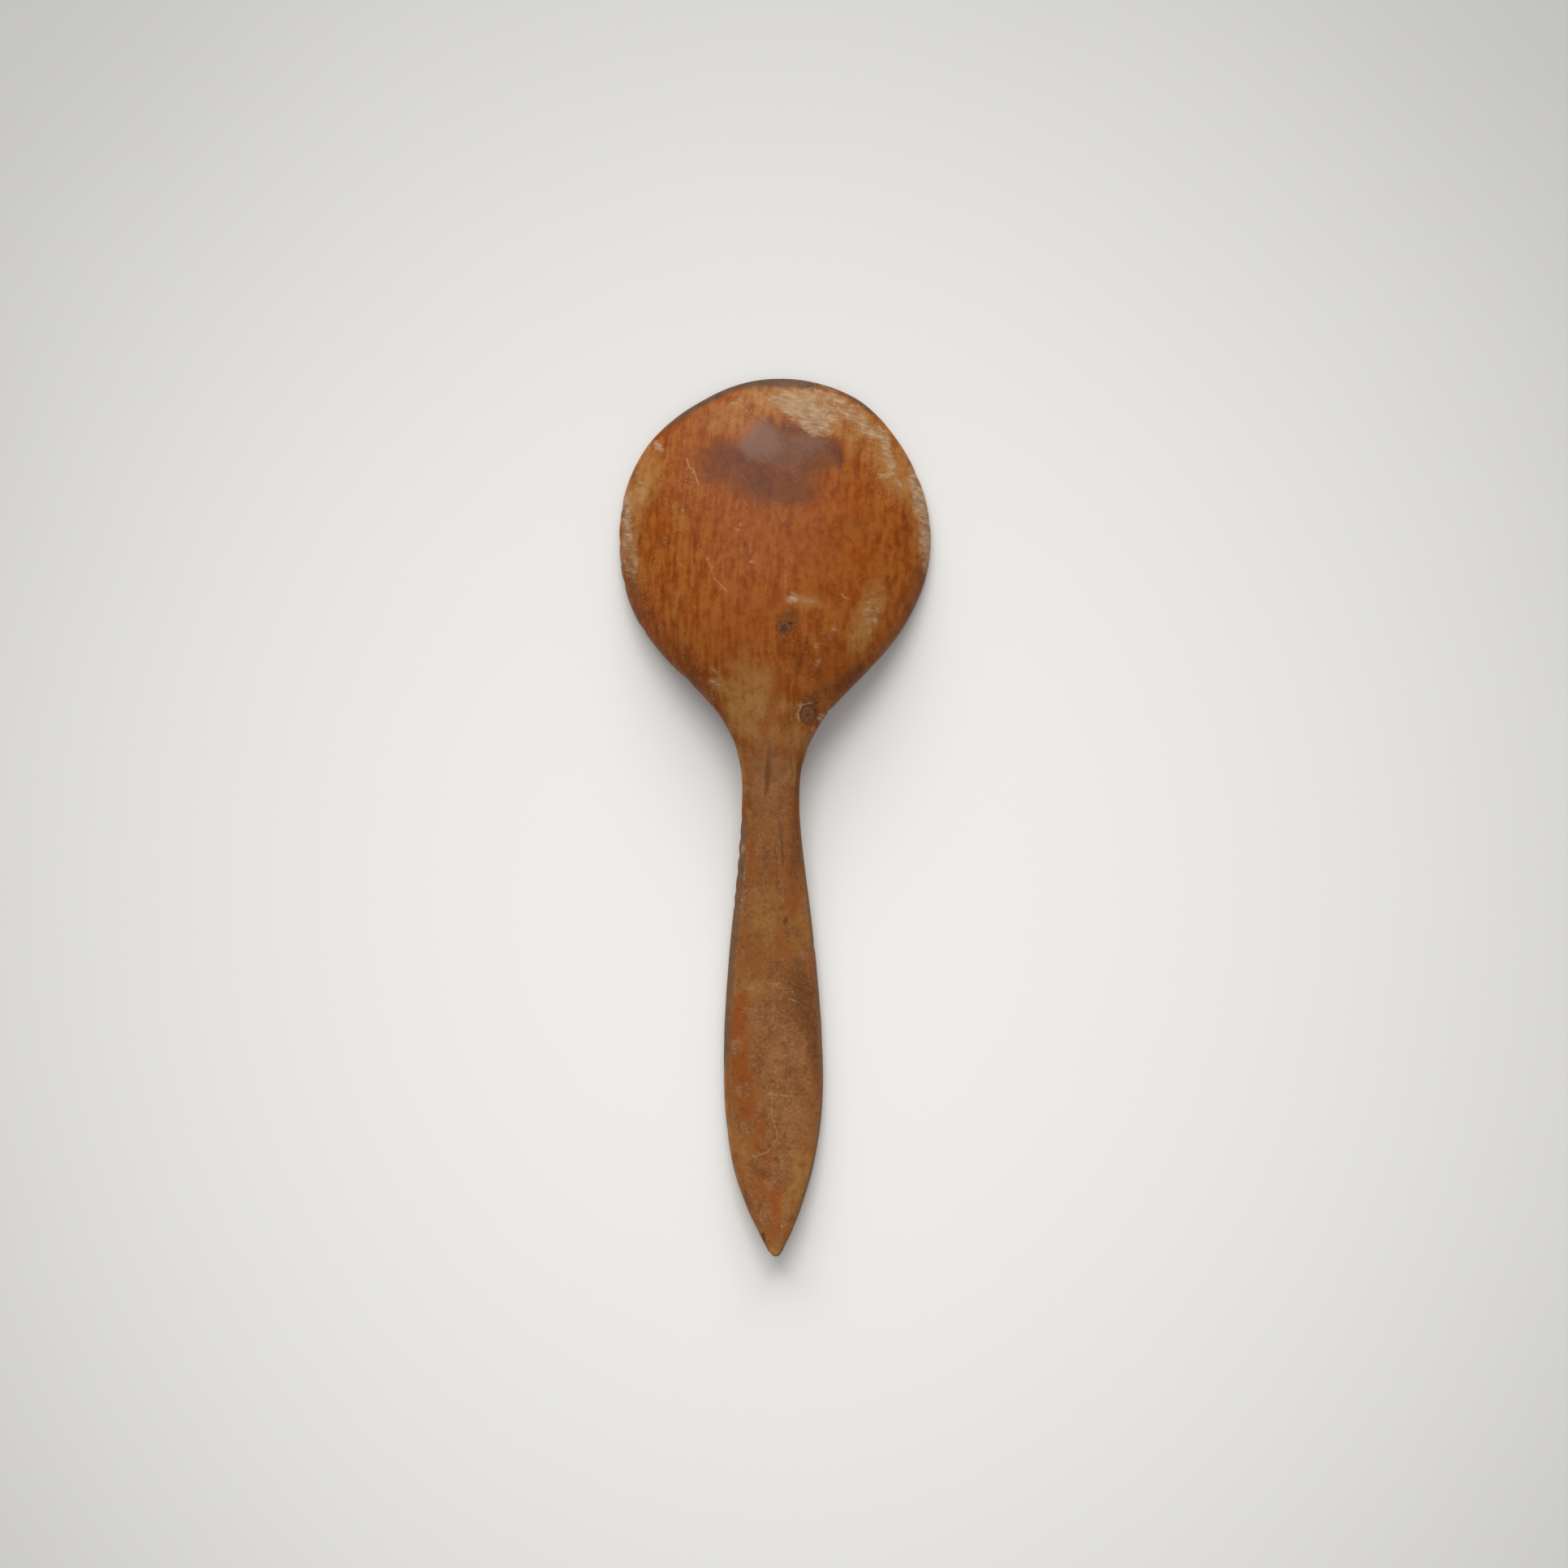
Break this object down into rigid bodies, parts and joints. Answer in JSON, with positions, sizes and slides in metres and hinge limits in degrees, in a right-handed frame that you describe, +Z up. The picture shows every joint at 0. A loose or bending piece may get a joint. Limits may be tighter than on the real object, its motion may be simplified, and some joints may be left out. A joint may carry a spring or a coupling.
{
  "type": "feed scoop",
  "caption": "Hand-carved wooden scoop, lying back up: round shallow bowl, waisted neck, flat leaf-shaped handle with a raised point.",
  "frame": {"origin": "centre of the scoop's outline, on the surface that it lies on", "axes": "+Y from the handle's point to the lip of the bowl, +Z up out of the bowl's back, +X across; the hollow opens towards -Z"},
  "size_m": [0.1066, 0.3, 0.0268],
  "materials": {
    "aged_wood": "worn oil and handling polish",
    "knot_wood": "dark, dry and slightly cracked"
  },
  "bodies": {
    "root": {"scoop": "aged_wood", "neck_knot": "knot_wood", "bowl_knot": "knot_wood"}
  },
  "joints": []
}
